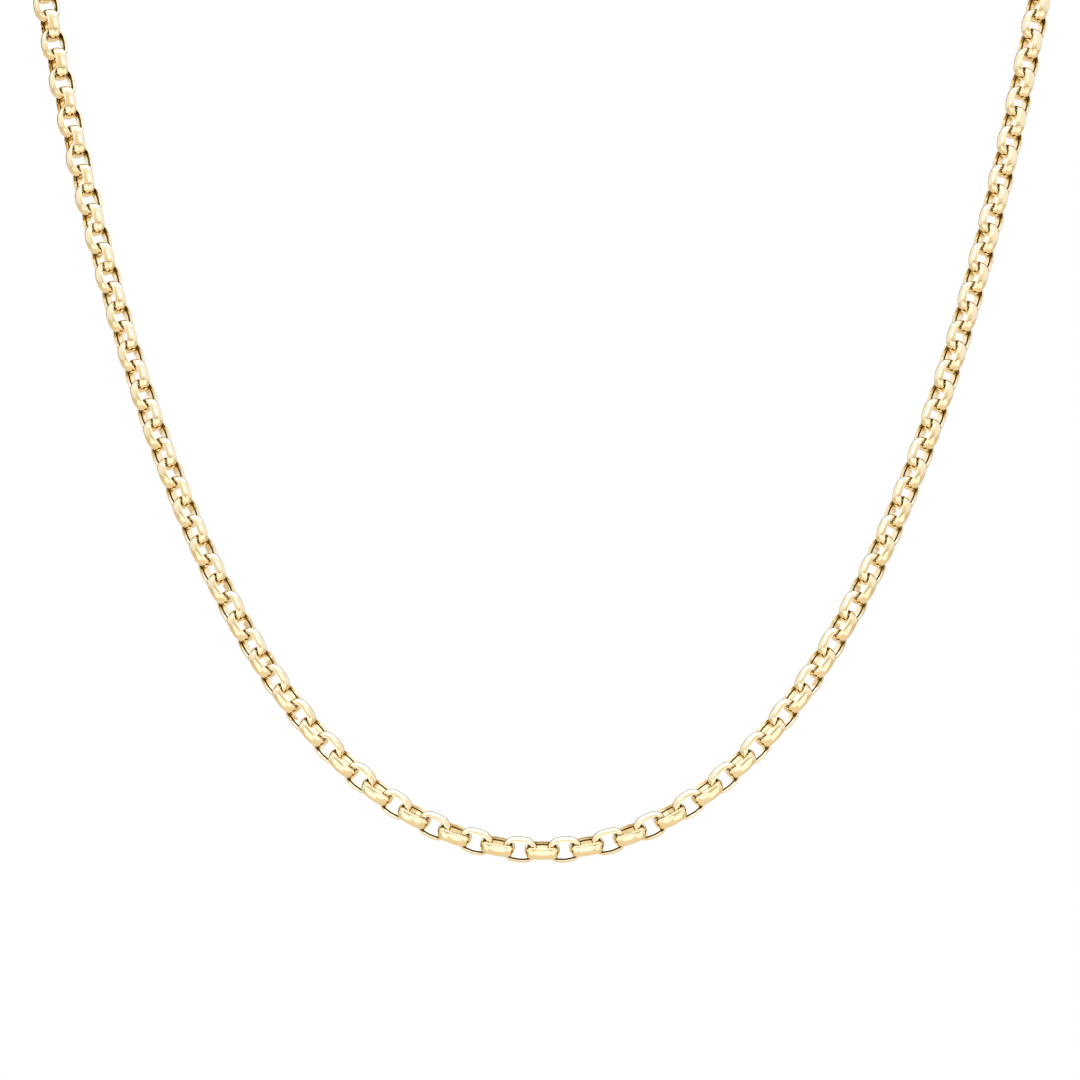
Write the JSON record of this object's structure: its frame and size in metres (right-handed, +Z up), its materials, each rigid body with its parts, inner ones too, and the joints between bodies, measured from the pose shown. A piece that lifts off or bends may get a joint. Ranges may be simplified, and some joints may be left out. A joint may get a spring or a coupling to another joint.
{
  "type": "rolo chain necklace",
  "caption": "Oval-link rolo chain necklace of domed gold band with a ring clasp, held in the form it has when worn round a neck.",
  "frame": {"origin": "middle of the nape on the chain's centre line, where the necklace hangs on the neck", "axes": "+Z up, +Y to the wearer's back, +X to the right of someone who faces the wearer"},
  "size_m": [0.1181, 0.0983, 0.1282],
  "materials": {
    "gold": "polished pale yellow gold"
  },
  "bodies": {
    "root": {"chain_left": "gold", "chain_right": "gold", "clasp": "gold", "end_ring": "gold"}
  },
  "joints": []
}
